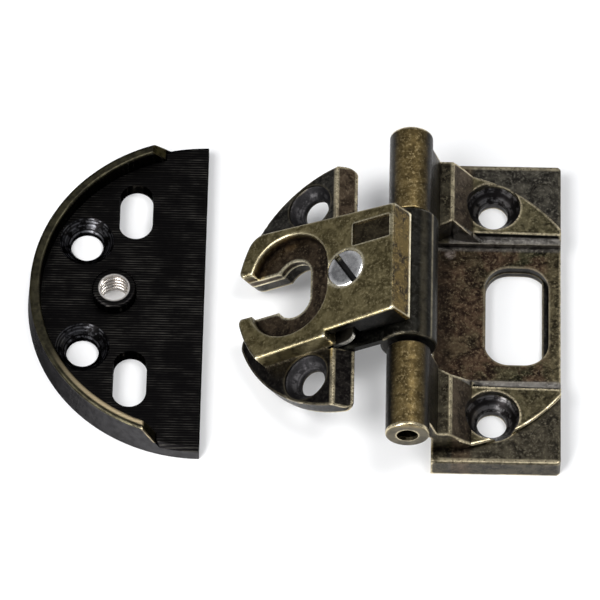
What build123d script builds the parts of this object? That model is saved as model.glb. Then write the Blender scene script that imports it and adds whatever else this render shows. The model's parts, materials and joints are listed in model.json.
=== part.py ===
import os
from math import cos, radians, sin, sqrt, tan

from build123d import *

# Lengths are millimetres. x is counted from the pin axis, y along the pin, z up from the leaf's back.

# Cabinet leaf
leaf_length = 60.0
leaf_edge = 26.6  # pin axis to the free long edge
leaf_heel = 4.2  # pin axis to the long edge beside the eyes
leaf_thickness = 4.1
leaf_corner = 0.8
leaf_round = 0.4  # along the upper edges
leaf_screw_reach = 14.7  # pin axis to the two wood screws
leaf_screw_spacing = 42.0
wood_screw_hole = 5.2
wood_screw_head = 9.5
leaf_screw_land = 1.5  # metal left under each countersink
pocket_floor = 2.9

# Raised half moons on the leaf
pad_centre = 4.4
pad_overrun = 5.7  # the half moons' outline runs this far past the leaf's free edge
pad_start = 15.5  # straight edge of each half moon, from the middle
pad_wall = 1.7  # foot of the sloping wall, nearer the middle
pad_end = 27.4
crest_reach = 7.4
crest_height = 9.3
crest_round = 0.5
pad_round = 0.4  # along the half moon's arc
flank_reach = 11.1
flank_height = 5.2
flank_end = 4.7  # height at the leaf's free edge

# Window that lets a screwdriver through the closed hinge
window_reach = 18.9
window_width = 11.2
window_length = 19.7
window_corner = 4.3
window_ledge = 1.1  # step in the window's outer wall
window_step = 0.2  # the same step along its other walls
window_ledge_height = 1.2

# Round marks left by the mould's ejectors
mark_reach = 23.4
mark_spacing = 49.0
mark_radius = 1.9
mark_depth = 0.12
pocket_mark_radius = 1.3
pocket_marks = ((6.6, 12.3), (24.0, -11.3))

# Pin and eyes
pin_height = 13.5
pin_radius = 1.85
pin_recess = 2.6  # pin end below the open eye's face
pin_chamfer = 0.25
pin_press = 0.01
pin_running_fit = 0.05
eye_radius = 3.8
eye_start = 13.2
eye_end = 30.0
eye_cap = 3.0  # metal that closes the far eye
web_foot = 7.8
eye_round = 0.4

# Door link, in the arm's own plane: u runs from the pin to the tip, v is square to the plate
arm_droop = 31.4  # the tip comes down almost to what the leaf lies on
link_bottom = 3.2
link_top = 6.4
wing_radius = 24.2
wing_centre = 7.4
wing_inner = 8.9
wing_ridge = 11.4
wing_bevel = 3.0
wing_corner = 1.4
wing_round = 0.3  # along the upper edges
wing_screw_reach = 16.8
wing_screw_spacing = 34.2
wing_screw_hole = 5.0
wing_screw_head = 8.6
wing_screw_land = 0.9
knuckle_radius = 4.9
knuckle_half = 12.6
knuckle_round = 0.5
spring_bay_start = 4.6
spring_bay_end = 12.4
spring_bay_floor = 1.1

# Slot for the clamp screw, open to the tip, and the recess for its head
clamp_reach = 18.55
clamp_width = 6.8
clamp_length = 11.2
clamp_mouth = 7.8
link_mouth_round = 3.0  # the link's corners beside the slot's mouth
link_relief = 0.7  # the link's slot stands back from the arm's
head_width = 15.6
head_length = 19.8
head_mouth = 8.3
head_ledge = 8.1

# Hook arm
arm_top = 10.1
arm_crest = -2.65
arm_heel = -3.3
arm_heel_height = 5.3
arm_half = 10.55
arm_flare = 0.05
arm_round = 0.5  # along the upper edges
jaw_step = 1.1  # near side only
jaw_step_reach = 10.9
jaw_radius = 21.9
jaw_shoulder = 3.5  # rounding of the far jaw's outer corner
jaw_round = 1.2
roof = 1.8
hood_wall = 1.2
hood_wall_end = 6.0
hood_solid = 9.5  # solid metal from here to the tip
side_gap = 2.2  # depth of the gap under each side wall, up to the jaws
label_reach = 1.9
label_side = 6.3
label_length = 7.4
label_width = 4.4
label_depth = 0.3

# Adjusting screw
screw_web = 0.3  # metal between the screw's head and the C-shaped recess
screw_head = 7.0
screw_head_height = 1.3
screw_chamfer = 0.2
screw_proud = 0.1
screw_shank = 4.0
screw_slot = 1.1
screw_slot_depth = 0.9
screw_turn = -57.0  # slot, from u
screw_boss = 6.4
screw_running_fit = 0.06
screw_seat_fit = 0.05  # under the head

# Snap spring
spring_leaf = 0.5
spring_half = 11.7
spring_neck = 0.35  # clearance to the hood's walls where the spring is narrower
spring_gap = 0.3
spring_bend = 10.8
spring_shoulder = 6.9

# Half-moon plate
plate_radius = 30.95  # at the foot of the drafted rim
plate_chord = -35.9  # pin axis to the straight edge
plate_side = 2.9
plate_draft = 5.0
plate_thickness = 2.9
plate_chamfer = 0.8
rim_height = 6.5
rim_wall = 1.8
rim_stop = 9.8  # full rim ends this far from the straight edge
rim_run = 3.0
plate_hole_reach = 20.95
plate_hole_spacing = 21.4
plate_hole = 5.7
plate_hole_head = 9.6
plate_slot_reach = 12.45
plate_slot_spacing = 33.8
plate_slot_width = 5.9
plate_slot_length = 11.1
thread_reach = 15.7
thread_minor = 5.0
collar_radius = 3.9
collar_height = 5.3
collar_round = 0.5
rim_round = 0.5
chord_round = 0.3

# Worked out from the sizes above
pin_x = -leaf_screw_reach  # the origin is midway between the leaf's two wood screws
pin_fit_radius = pin_radius + pin_running_fit
pad_radius = leaf_edge + pad_overrun - pad_centre
pocket_half = pad_start - pad_wall
jaw_half = arm_half + arm_flare * (jaw_step_reach - arm_crest)
tip_half = arm_half + arm_flare * (wing_centre + jaw_radius - arm_crest)
link_thickness = link_top - link_bottom
arm_thickness = arm_top - link_top
screw_reach = clamp_reach - head_width / 2 - screw_web - screw_head / 2
hood_floor = arm_top - roof
boss_foot = hood_floor - roof / 2
bay_height = link_bottom + spring_bay_floor
spring_foot = bay_height + spring_leaf
spring_top = boss_foot - spring_gap - spring_leaf / 2
spring_narrow = arm_half - hood_wall - spring_neck
rim_inside = plate_radius - rim_height * tan(radians(plate_draft)) - rim_wall
rim_foot = rim_stop - rim_run
plate_lean = (plate_thickness - plate_chamfer) * tan(radians(plate_draft))
overcut = 20.0  # how far a cut runs past the metal

droop = radians(arm_droop)
leaf_plane = Plane(origin=(pin_x, 0, 0))
side_plane = Plane(origin=(pin_x, 0, 0), x_dir=(1, 0, 0), z_dir=(0, -1, 0))
arm_plane = Plane(
    origin=(pin_x, 0, pin_height),
    x_dir=(-cos(droop), 0, -sin(droop)),
    z_dir=(-sin(droop), 0, cos(droop)),
)
arm_axis = Axis(arm_plane.origin, arm_plane.z_dir)
arm_side_plane = Plane(origin=(pin_x, 0, pin_height), x_dir=arm_plane.x_dir, z_dir=(0, 1, 0))
plate_plane = Plane(
    origin=(pin_x + plate_chord, plate_side, 0),
    x_dir=(-1, 0, 0),
    z_dir=(0, 0, 1),
)
plate_side_plane = Plane(origin=plate_plane.origin, x_dir=(-1, 0, 0), z_dir=(0, 1, 0))


# A raised half moon: its section along the leaf, cut to the round outline, with a sloping inner wall
with BuildPart() as half_moon:
    with BuildSketch(side_plane.offset(-pad_start)):
        with BuildLine():
            Polyline(
                (leaf_heel, 0),
                (leaf_heel, crest_height),
                (crest_reach, crest_height),
                (flank_reach, flank_height),
                (leaf_edge, flank_end),
                (leaf_edge, 0),
                close=True,
            )
        make_face()
    extrude(amount=-(pad_end - pad_start))
    with BuildSketch(leaf_plane):
        with Locations((pad_centre, 0)):
            Circle(pad_radius)
    extrude(amount=crest_height, mode=Mode.INTERSECT)
    # Round the upper edges along the outline
    outline_edges = edges().filter_by(lambda e: e.geom_type in (GeomType.ELLIPSE, GeomType.CIRCLE))
    fillet(outline_edges.filter_by(lambda e: e.center().Z > flank_end), pad_round)
    with BuildSketch(side_plane.offset(-pad_start)):
        with BuildLine():
            Polyline(
                (crest_reach, 0),
                (crest_reach, crest_height),
                (flank_reach, flank_height),
                (leaf_edge, flank_end),
                (leaf_edge, 0),
                close=True,
            )
        make_face()
    with BuildSketch(side_plane.offset(-pocket_half)):
        with BuildLine():
            Polyline(
                (crest_reach, 0),
                (crest_reach, pocket_floor),
                (flank_reach, pocket_floor),
                (leaf_edge, pocket_floor),
                (leaf_edge, 0),
                close=True,
            )
        make_face()
    loft(ruled=True)
    with BuildSketch(leaf_plane):
        with BuildLine():
            Polyline(
                (leaf_heel, pocket_half),
                (crest_reach, pad_start),
                (leaf_heel, pad_start),
                close=True,
            )
        make_face()
    extrude(amount=crest_height)
    # Round the crest
    with BuildSketch(side_plane):
        with BuildLine():
            Polyline(
                (leaf_heel + 1, crest_height),
                (crest_reach, crest_height),
                (flank_reach, flank_height),
                (flank_reach, 2 * crest_height),
                (leaf_heel + 1, 2 * crest_height),
                close=True,
            )
        make_face()
        fillet(vertices().sort_by_distance((crest_reach, crest_height))[0], crest_round)
    extrude(amount=-overcut * 2, mode=Mode.SUBTRACT)
    # Web that carries the eye on the half moon's flat top
    with BuildSketch(side_plane.offset(-pocket_half)):
        with BuildLine():
            Polyline(
                (0, pin_height),
                (eye_radius / 2, pin_height - eye_radius * sqrt(3) / 2),
                (leaf_heel, web_foot),
                (leaf_heel + 1, crest_height),
                (eye_radius, pin_height),
                close=True,
            )
        make_face()
    extrude(amount=-(pad_end - pocket_half))

with BuildPart() as cabinet_leaf:
    # Eyes, the far one closed and rounded
    with BuildSketch(side_plane.offset(eye_start), side_plane.offset(-eye_end)):
        with Locations((0, pin_height)):
            Circle(eye_radius)
    extrude(amount=eye_end - eye_start)
    eye_rims = edges().filter_by(GeomType.CIRCLE).sort_by(Axis.Y)
    fillet(eye_rims[-1], 2 * eye_round)
    fillet(eye_rims[:-1], eye_round)
    with BuildSketch(leaf_plane):
        with Locations(((leaf_heel + leaf_edge) / 2, 0)):
            Rectangle(leaf_edge - leaf_heel, leaf_length)
        fillet(vertices().group_by(Axis.X)[-1], leaf_corner)
    extrude(amount=leaf_thickness)
    with BuildSketch(leaf_plane.offset(pocket_floor)):
        with Locations(((leaf_heel + leaf_edge) / 2, 0)):
            Rectangle(leaf_edge, 2 * pocket_half)
    extrude(amount=leaf_thickness, mode=Mode.SUBTRACT)
    upper_edges = edges().filter_by_position(Axis.Z, leaf_thickness - leaf_round, leaf_thickness + leaf_round)
    free_edges = upper_edges.filter_by(lambda e: abs((e @ 0.5).Y) > pocket_half + leaf_corner)
    fillet(free_edges.filter_by(lambda e: (e @ 0.5).X > pin_x + leaf_heel + leaf_corner), leaf_round)
    add(half_moon.part)
    mirror(half_moon.part, about=Plane.XZ)
    with BuildSketch(side_plane.offset(eye_end)):
        with Locations((0, pin_height)):
            Circle(pin_radius + pin_press)
    extrude(amount=-(2 * eye_end - eye_cap), mode=Mode.SUBTRACT)
    # Wood screws
    with Locations(leaf_plane.offset(leaf_screw_land + (wood_screw_head - wood_screw_hole) / 2)):
        with GridLocations(1, leaf_screw_spacing, 1, 2):
            with Locations((leaf_screw_reach, 0)):
                CounterSinkHole(
                    radius=wood_screw_hole / 2,
                    counter_sink_radius=wood_screw_head / 2,
                    depth=overcut,
                    counter_sink_angle=90,
                )
    # Window
    with BuildSketch(leaf_plane.offset(window_ledge_height)):
        with Locations((window_reach, 0)):
            RectangleRounded(window_width, window_length, window_corner)
    extrude(amount=overcut, mode=Mode.SUBTRACT)
    with BuildSketch(leaf_plane):
        with Locations((window_reach, 0)):
            RectangleRounded(
                window_width - 2 * window_step,
                window_length - 2 * window_step,
                window_corner - window_step,
            )
        with Locations((window_reach + window_width / 2 - window_ledge, 0)):
            Rectangle(
                window_ledge,
                window_length,
                align=(Align.MIN, Align.CENTER),
                mode=Mode.SUBTRACT,
            )
    extrude(amount=overcut, mode=Mode.SUBTRACT)
    with BuildSketch(leaf_plane.offset(leaf_thickness - mark_depth)):
        with GridLocations(1, mark_spacing, 1, 2):
            with Locations((mark_reach, 0)):
                Circle(mark_radius)
    extrude(amount=overcut, mode=Mode.SUBTRACT)
    with BuildSketch(leaf_plane.offset(pocket_floor - mark_depth)):
        with Locations(pocket_marks):
            Circle(pocket_mark_radius)
    extrude(amount=crest_height - pocket_floor, mode=Mode.SUBTRACT)
cabinet_leaf.part.label = "cabinet_leaf"

with BuildPart() as hinge_pin:
    with BuildSketch(side_plane.offset(eye_end - pin_recess)):
        with Locations((0, pin_height)):
            Circle(pin_radius)
    extrude(amount=-(2 * eye_end - pin_recess - eye_cap - pin_running_fit))
    chamfer(edges().filter_by(GeomType.CIRCLE), pin_chamfer)
hinge_pin.part.label = "hinge_pin"

with BuildPart() as door_link:
    # Knuckle on the pin
    with BuildSketch(arm_side_plane.offset(-knuckle_half)):
        Circle(knuckle_radius)
    extrude(amount=2 * knuckle_half)
    fillet(edges().filter_by(GeomType.CIRCLE), knuckle_round)
    # Wings: a half disc with its straight edge towards the pin
    with BuildSketch(arm_plane.offset(link_bottom)):
        with Locations((wing_centre, 0)):
            Circle(wing_radius)
        with Locations((wing_inner, 0)):
            Rectangle(2 * wing_radius, 2 * wing_radius, align=(Align.MIN, Align.CENTER), mode=Mode.INTERSECT)
        fillet(vertices(), wing_corner)
    extrude(amount=link_thickness)
    # A thin floor joins them to the knuckle
    with BuildSketch(arm_plane.offset(link_bottom)):
        Rectangle(wing_ridge, 2 * knuckle_half, align=(Align.MIN, Align.CENTER))
    extrude(amount=spring_bay_floor)
    # The wings' straight edges slope down, to lie over the leaf's crests when the hinge is closed
    for near in (1, -1):
        with BuildSketch(arm_side_plane.offset(near * knuckle_half)):
            with BuildLine():
                Polyline(
                    (wing_ridge, link_top),
                    (wing_inner - 1, link_top - wing_bevel * (wing_ridge - wing_inner + 1)
                     / (wing_ridge - wing_inner)),
                    (wing_inner - 1, link_top),
                    close=True,
                )
            make_face()
        extrude(amount=near * overcut, mode=Mode.SUBTRACT)
    with BuildSketch(arm_side_plane.offset(-knuckle_half)):
        Circle(pin_fit_radius)
    extrude(amount=2 * knuckle_half, mode=Mode.SUBTRACT)
    # Open bay for the spring, which runs on under the arm
    with BuildSketch(arm_plane.offset(bay_height)):
        with Locations((spring_bay_start, 0)):
            Rectangle(spring_bay_end - spring_bay_start, 2 * knuckle_half, align=(Align.MIN, Align.CENTER))
    extrude(amount=link_thickness, mode=Mode.SUBTRACT)
    # Clamp slot and its mouth
    with BuildSketch(arm_plane):
        with Locations((clamp_reach, 0)):
            SlotOverall(clamp_length + 2 * link_relief, clamp_width + 2 * link_relief, rotation=90)
            Rectangle(overcut, clamp_mouth + 2 * link_relief, align=(Align.MIN, Align.CENTER))
    extrude(amount=overcut, mode=Mode.SUBTRACT)
    mouth_corners = edges().filter_by(arm_axis).sort_by(Axis(arm_plane.origin, arm_plane.x_dir))
    fillet(mouth_corners[-2:], link_mouth_round)
    with Locations(arm_plane.offset(link_bottom + wing_screw_land + (wing_screw_head - wing_screw_hole) / 2)):
        with GridLocations(1, wing_screw_spacing, 1, 2):
            with Locations((wing_screw_reach, 0)):
                CounterSinkHole(
                    radius=wing_screw_hole / 2,
                    counter_sink_radius=wing_screw_head / 2,
                    depth=overcut,
                    counter_sink_angle=90,
                )
    wing_top = faces().filter_by(arm_plane).sort_by(arm_axis)[-1]
    fillet(wing_top.outer_wire().edges(), wing_round)
door_link.part.label = "door_link"

with BuildPart() as hook_arm:
    # Plan: it flares towards the jaws, which end on an arc about the same centre as the wings
    with BuildSketch(arm_plane.offset(link_top)):
        with BuildLine():
            Polyline(
                (arm_heel, arm_half),
                (arm_crest, arm_half),
                (jaw_step_reach, jaw_half),
                (jaw_step_reach, jaw_half + jaw_step),
                (wing_centre + jaw_radius, tip_half + jaw_step),
                (wing_centre + jaw_radius, -tip_half),
                (arm_crest, -arm_half),
                (arm_heel, -arm_half),
                close=True,
            )
        make_face()
        with Locations((wing_centre, 0)):
            Circle(jaw_radius, mode=Mode.INTERSECT)
        far_corner = vertices().filter_by(lambda v: v.X > clamp_reach).sort_by(Axis.Y)[0]
        fillet(far_corner, jaw_shoulder)
        with Locations((clamp_reach, 0)):
            SlotOverall(clamp_length, clamp_width, rotation=90, mode=Mode.SUBTRACT)
            Rectangle(overcut, clamp_mouth, align=(Align.MIN, Align.CENTER), mode=Mode.SUBTRACT)
        past_recess = vertices().filter_by(lambda v: v.X > clamp_reach + head_width / 2)
        jaw_tips = past_recess.filter_by(lambda v: abs(v.Y) < head_mouth)
        fillet(jaw_tips, jaw_round)
    extrude(amount=arm_thickness)
    with BuildSketch(arm_plane.offset(head_ledge)):
        with Locations((clamp_reach, 0)):
            SlotOverall(head_length, head_width, rotation=90)
            Rectangle(overcut, head_mouth, align=(Align.MIN, Align.CENTER))
    extrude(amount=overcut, mode=Mode.SUBTRACT)
    # Hood: hollow under its roof, with walls on three sides and a gap under each side wall
    with BuildSketch(arm_plane.offset(arm_heel_height)):
        with Locations((arm_heel, 0)):
            Rectangle(hood_wall_end - arm_heel, 2 * arm_half, align=(Align.MIN, Align.CENTER))
    extrude(amount=hood_floor - arm_heel_height)
    with BuildSketch(arm_plane.offset(arm_heel_height)):
        with Locations((arm_heel + hood_wall, 0)):
            Rectangle(hood_solid - arm_heel - hood_wall, 2 * (arm_half - hood_wall),
                      align=(Align.MIN, Align.CENTER))
        with GridLocations(1, 2 * arm_half, 1, 2):
            with Locations((hood_wall_end, 0)):
                Rectangle(jaw_step_reach - hood_wall_end, 2 * side_gap, align=(Align.MIN, Align.CENTER))
    extrude(amount=hood_floor - arm_heel_height, mode=Mode.SUBTRACT)
    # The end wall leans back from the crest
    with BuildSketch(arm_side_plane.offset(-overcut)):
        with BuildLine():
            Polyline(
                (arm_heel, arm_heel_height),
                (arm_crest, arm_top),
                (arm_heel - 1, arm_top),
                (arm_heel - 1, arm_heel_height),
                close=True,
            )
        make_face()
    extrude(amount=2 * overcut, mode=Mode.SUBTRACT)
    # Boss and seat for the adjusting screw
    with BuildSketch(arm_plane.offset(boss_foot)):
        with Locations((screw_reach, 0)):
            Circle(screw_boss / 2)
    extrude(amount=hood_floor - boss_foot)
    with Locations(arm_plane.offset(arm_top)):
        with Locations((screw_reach, 0)):
            CounterBoreHole(
                radius=screw_shank / 2 + screw_running_fit,
                counter_bore_radius=screw_head / 2 + screw_running_fit,
                counter_bore_depth=screw_head_height - screw_proud + screw_seat_fit,
                depth=overcut,
            )
    # Bare shallow panel on the far half of the hood
    with BuildSketch(arm_plane.offset(arm_top - label_depth)):
        with Locations((label_reach, -label_side)):
            Rectangle(label_length, label_width)
    extrude(amount=overcut, mode=Mode.SUBTRACT)
    arm_face = faces().filter_by(arm_plane).sort_by(arm_axis)[-1]
    fillet(arm_face.outer_wire().edges(), arm_round)
hook_arm.part.label = "hook_arm"

with BuildPart() as adjusting_screw:
    with BuildSketch(arm_plane.offset(arm_top + screw_proud)):
        with Locations((screw_reach, 0)):
            Circle(screw_head / 2)
    extrude(amount=-screw_head_height)
    chamfer(edges().filter_by(GeomType.CIRCLE).sort_by(arm_axis)[-1], screw_chamfer)
    with BuildSketch(arm_plane.offset(boss_foot)):
        with Locations((screw_reach, 0)):
            Circle(screw_shank / 2)
    extrude(amount=arm_top + screw_proud - screw_head_height - boss_foot)
    with BuildSketch(arm_plane.offset(arm_top + screw_proud)):
        with Locations((screw_reach, 0)):
            Rectangle(screw_head, screw_slot, rotation=screw_turn)
    extrude(amount=-screw_slot_depth, mode=Mode.SUBTRACT)
adjusting_screw.part.label = "adjusting_screw"

# A bent leaf: its wide foot on the link's floor, its narrow free end under the screw
with BuildPart() as snap_spring:
    with BuildSketch(arm_side_plane.offset(-spring_half)):
        with BuildLine():
            bend = (spring_bend, spring_foot)
            shoulder = (spring_shoulder, spring_top)
            Line((spring_bay_end - spring_gap, spring_foot), bend)
            TangentArc(bend, shoulder, tangent=(-1, 0))
            Line(shoulder, (arm_heel + hood_wall + spring_gap, spring_top))
        trace(line_width=spring_leaf)
    extrude(amount=2 * spring_half)
    with BuildSketch(arm_plane):
        with GridLocations(1, 2 * spring_half, 1, 2):
            with Locations((arm_heel, 0)):
                Rectangle(
                    spring_shoulder - arm_heel,
                    2 * (spring_half - spring_narrow),
                    align=(Align.MIN, Align.CENTER),
                )
    extrude(amount=overcut, mode=Mode.SUBTRACT)
snap_spring.part.label = "snap_spring"

with BuildPart() as plate_disc:
    with BuildSketch(plate_side_plane):
        with BuildLine():
            Polyline(
                (0, 0),
                (plate_radius, 0),
                (plate_radius - plate_lean, plate_thickness - plate_chamfer),
                (plate_radius - plate_lean - plate_chamfer, plate_thickness),
                (0, plate_thickness),
                close=True,
            )
        make_face()
    revolve(axis=Axis(plate_plane.origin, plate_plane.z_dir))
    split(bisect_by=Plane(plate_plane.origin, z_dir=plate_plane.x_dir), keep=Keep.TOP)

with BuildPart() as half_moon_plate:
    with BuildSketch(plate_side_plane):
        with BuildLine():
            Polyline(
                (rim_inside, 0),
                (plate_radius, 0),
                (rim_inside + rim_wall, rim_height),
                (rim_inside, rim_height),
                close=True,
            )
        make_face()
    revolve(axis=Axis(plate_plane.origin, plate_plane.z_dir))
    # The rim sweeps down to the plate before it reaches the straight edge
    with BuildSketch(plate_side_plane.offset(-2 * plate_radius)):
        with BuildLine():
            Polyline(
                (rim_stop, rim_height),
                (rim_stop, 2 * rim_height),
                (-2 * plate_radius, 2 * rim_height),
                (-2 * plate_radius, -rim_height),
                (rim_foot, -rim_height),
                (rim_foot, plate_thickness - plate_chamfer),
                close=True,
            )
        make_face()
    extrude(amount=4 * plate_radius, mode=Mode.SUBTRACT)
    fillet(edges().group_by(Axis.Z)[-1].filter_by(GeomType.CIRCLE), rim_round)
    add(plate_disc.part)
    chord_edge = edges().group_by(Axis.X)[-1].filter_by(Axis.Y).sort_by(Axis.Z)[-1]
    fillet(chord_edge, chord_round)
    with BuildSketch(plate_plane):
        with Locations((thread_reach, 0)):
            Circle(collar_radius)
    extrude(amount=collar_height)
    collar_edge = edges().filter_by_position(Axis.Z, collar_height, collar_height)
    fillet(collar_edge.filter_by(GeomType.CIRCLE), collar_round)
    with BuildSketch(plate_plane):
        with Locations((thread_reach, 0)):
            Circle(thread_minor / 2)
    extrude(amount=overcut, mode=Mode.SUBTRACT)
    with Locations(plate_plane.offset(plate_thickness)):
        with GridLocations(1, plate_hole_spacing, 1, 2):
            with Locations((plate_hole_reach, 0)):
                CounterSinkHole(
                    radius=plate_hole / 2,
                    counter_sink_radius=plate_hole_head / 2,
                    depth=overcut,
                    counter_sink_angle=90,
                )
    with BuildSketch(plate_plane):
        with GridLocations(1, plate_slot_spacing, 1, 2):
            with Locations((plate_slot_reach, 0)):
                SlotOverall(plate_slot_length, plate_slot_width, rotation=90)
    extrude(amount=overcut, mode=Mode.SUBTRACT)
half_moon_plate.part.label = "half_moon_plate"

os.makedirs("parts", exist_ok=True)
for piece in (
    cabinet_leaf,
    hinge_pin,
    door_link,
    hook_arm,
    adjusting_screw,
    snap_spring,
    half_moon_plate,
):
    export_step(piece.part, f"parts/{piece.part.label}.step")
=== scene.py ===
import json
from math import cos, pi, radians, sin

import bpy
from mathutils import Matrix, Vector

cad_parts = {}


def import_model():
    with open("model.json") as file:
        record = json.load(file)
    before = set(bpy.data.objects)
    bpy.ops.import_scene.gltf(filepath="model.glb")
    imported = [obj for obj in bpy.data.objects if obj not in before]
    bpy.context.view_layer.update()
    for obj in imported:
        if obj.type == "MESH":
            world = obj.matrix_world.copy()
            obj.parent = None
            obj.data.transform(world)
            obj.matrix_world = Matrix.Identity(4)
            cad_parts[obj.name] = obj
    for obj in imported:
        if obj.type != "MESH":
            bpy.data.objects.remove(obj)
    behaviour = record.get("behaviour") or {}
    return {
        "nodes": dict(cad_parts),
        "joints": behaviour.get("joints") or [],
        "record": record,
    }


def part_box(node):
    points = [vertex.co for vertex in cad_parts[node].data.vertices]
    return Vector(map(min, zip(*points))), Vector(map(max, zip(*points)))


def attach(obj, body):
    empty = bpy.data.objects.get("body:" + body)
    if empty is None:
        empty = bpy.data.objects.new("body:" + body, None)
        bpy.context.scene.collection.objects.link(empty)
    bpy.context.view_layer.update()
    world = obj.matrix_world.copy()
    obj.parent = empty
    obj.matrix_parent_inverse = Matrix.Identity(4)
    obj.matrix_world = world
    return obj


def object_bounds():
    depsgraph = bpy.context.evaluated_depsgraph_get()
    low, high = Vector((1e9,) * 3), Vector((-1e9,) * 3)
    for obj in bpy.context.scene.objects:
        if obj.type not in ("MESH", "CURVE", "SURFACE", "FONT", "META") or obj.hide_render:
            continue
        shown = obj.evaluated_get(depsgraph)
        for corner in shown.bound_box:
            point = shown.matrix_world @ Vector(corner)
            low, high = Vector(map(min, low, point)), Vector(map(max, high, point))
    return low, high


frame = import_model()
nodes = frame["nodes"]
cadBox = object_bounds()
mm = 0.001
shadeSamples = 12  # rays that look for a nearby edge or corner


# Places that the frame gives, in metres
def jointNamed(name):
    return [j for j in frame["joints"] if j["name"] == name][0]


def mountNamed(name):
    return [m for m in frame["record"]["mounts"] if m["name"] == name][0]


def mountHoles(name):
    # the two holes lie along y, at equal distances from the mount
    mount = mountNamed(name)
    apart = mount["dims"].get("spacing_y_mm", mount["dims"].get("pcd_mm")) * mm
    return [tuple(Vector(mount["pos_m"]) + Vector((0, side * apart / 2, 0))) for side in (-1, 1)]


pinAxis = Vector(jointNamed("leaf_turn")["pos_m"])
screwAxis = Vector(jointNamed("screw_turn")["pos_m"])
armNormal = Vector(jointNamed("screw_turn")["axis"])
armAlong = Vector((-armNormal.z, 0, armNormal.x))
clampSeat = Vector(mountNamed("clamp_seat")["pos_m"])
collar = mountNamed("clamp_thread")
boreRadius = collar["dims"]["r_mm"] * mm
boreLength = collar["dims"]["length_mm"] * mm


# Node helpers: every pattern is read in the piece's own coordinates. Places are in metres, sizes in
# millimetres
def newMaterial(name):
    material = bpy.data.materials.new(name)
    material.use_nodes = True
    tree = material.node_tree
    tree.nodes.clear()
    shader = tree.nodes.new("ShaderNodeBsdfPrincipled")
    output = tree.nodes.new("ShaderNodeOutputMaterial")
    tree.links.new(shader.outputs["BSDF"], output.inputs["Surface"])
    return material, tree, shader


def objectPlace(tree, stretch=(1, 1, 1)):
    coordinate = tree.nodes.new("ShaderNodeTexCoord")
    mapping = tree.nodes.new("ShaderNodeMapping")
    mapping.inputs["Scale"].default_value = stretch
    tree.links.new(coordinate.outputs["Object"], mapping.inputs["Vector"])
    return mapping.outputs["Vector"]


def noise(tree, grain, detail, roughness, stretch=(1, 1, 1), distortion=0.0):
    # grain is the size of one blotch, detail the levels below it and roughness how much they show
    texture = tree.nodes.new("ShaderNodeTexNoise")
    texture.inputs["Scale"].default_value = 1 / (grain * mm)
    texture.inputs["Detail"].default_value = detail
    texture.inputs["Roughness"].default_value = roughness
    texture.inputs["Distortion"].default_value = distortion
    tree.links.new(objectPlace(tree, stretch), texture.inputs["Vector"])
    return texture.outputs["Fac"]


def spread(tree, value, fade, first=0.0, last=1.0):
    # first up to the fade's start, last from its end, and a soft step between
    node = tree.nodes.new("ShaderNodeMapRange")
    node.interpolation_type = "SMOOTHSTEP"
    node.inputs["From Min"].default_value = fade[0]
    node.inputs["From Max"].default_value = fade[1]
    node.inputs["To Min"].default_value = first
    node.inputs["To Max"].default_value = last
    tree.links.new(value, node.inputs["Value"])
    return node.outputs["Result"]


def past(tree, distance, fade, most=1.0, least=0.0):
    return spread(tree, distance, [side * mm for side in fade], least, most)


def before(tree, distance, fade, most=1.0, least=0.0):
    return spread(tree, distance, [side * mm for side in fade], most, least)


def strip(tree, distance, start, end):
    # between two fades
    return overlap(tree, past(tree, distance, start), before(tree, distance, end))


def combine(tree, operation, first, second=0.0, clamp=True):
    node = tree.nodes.new("ShaderNodeMath")
    node.operation = operation
    node.use_clamp = clamp
    for socket, value in zip(node.inputs, (first, second)):
        if isinstance(value, (int, float)):
            socket.default_value = value
        else:
            tree.links.new(value, socket)
    return node.outputs["Value"]


def overlap(tree, *parts):
    whole = parts[0]
    for part in parts[1:]:
        whole = combine(tree, "MULTIPLY", whole, part)
    return whole


def either(tree, *parts):
    whole = parts[0]
    for part in parts[1:]:
        whole = combine(tree, "MAXIMUM", whole, part)
    return whole


def without(tree, part):
    return combine(tree, "SUBTRACT", 1.0, part)


def blendColour(tree, factor, first, second):
    node = tree.nodes.new("ShaderNodeMix")
    node.data_type = "RGBA"
    tree.links.new(factor, node.inputs["Factor"])
    for name, value in (("A", first), ("B", second)):
        socket = [s for s in node.inputs if s.name == name and s.type == "RGBA"][0]
        if isinstance(value, tuple):
            socket.default_value = (*value, 1)
        else:
            tree.links.new(value, socket)
    return [s for s in node.outputs if s.type == "RGBA"][0]


def bump(tree, shader, height, depth, strength=1.0):
    node = tree.nodes.new("ShaderNodeBump")
    node.inputs["Strength"].default_value = strength
    node.inputs["Distance"].default_value = depth * mm
    tree.links.new(height, node.inputs["Height"])
    tree.links.new(node.outputs["Normal"], shader.inputs["Normal"])


def cornerShade(tree, reach, inside):
    # inside finds outer edges, where the hand rubs; outside finds inner corners, where the patina stays
    node = tree.nodes.new("ShaderNodeAmbientOcclusion")
    node.inside = inside
    node.only_local = True
    node.samples = shadeSamples
    node.inputs["Distance"].default_value = reach * mm
    return without(tree, node.outputs["AO"])


def axisValue(tree, axis):
    split = tree.nodes.new("ShaderNodeSeparateXYZ")
    tree.links.new(objectPlace(tree), split.inputs["Vector"])
    return split.outputs[axis]


def fromMiddle(tree):
    # distance from the hinge's plane of symmetry
    return combine(tree, "ABSOLUTE", axisValue(tree, "Y"))


def fromPin(tree):
    # distance past the pin's axis, toward the leaf's free edge
    return combine(tree, "SUBTRACT", axisValue(tree, "X"), pinAxis.x, False)


def vectorStep(tree, operation, first, second):
    node = tree.nodes.new("ShaderNodeVectorMath")
    node.operation = operation
    tree.links.new(first, node.inputs[0])
    node.inputs[1].default_value = second
    return node


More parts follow.
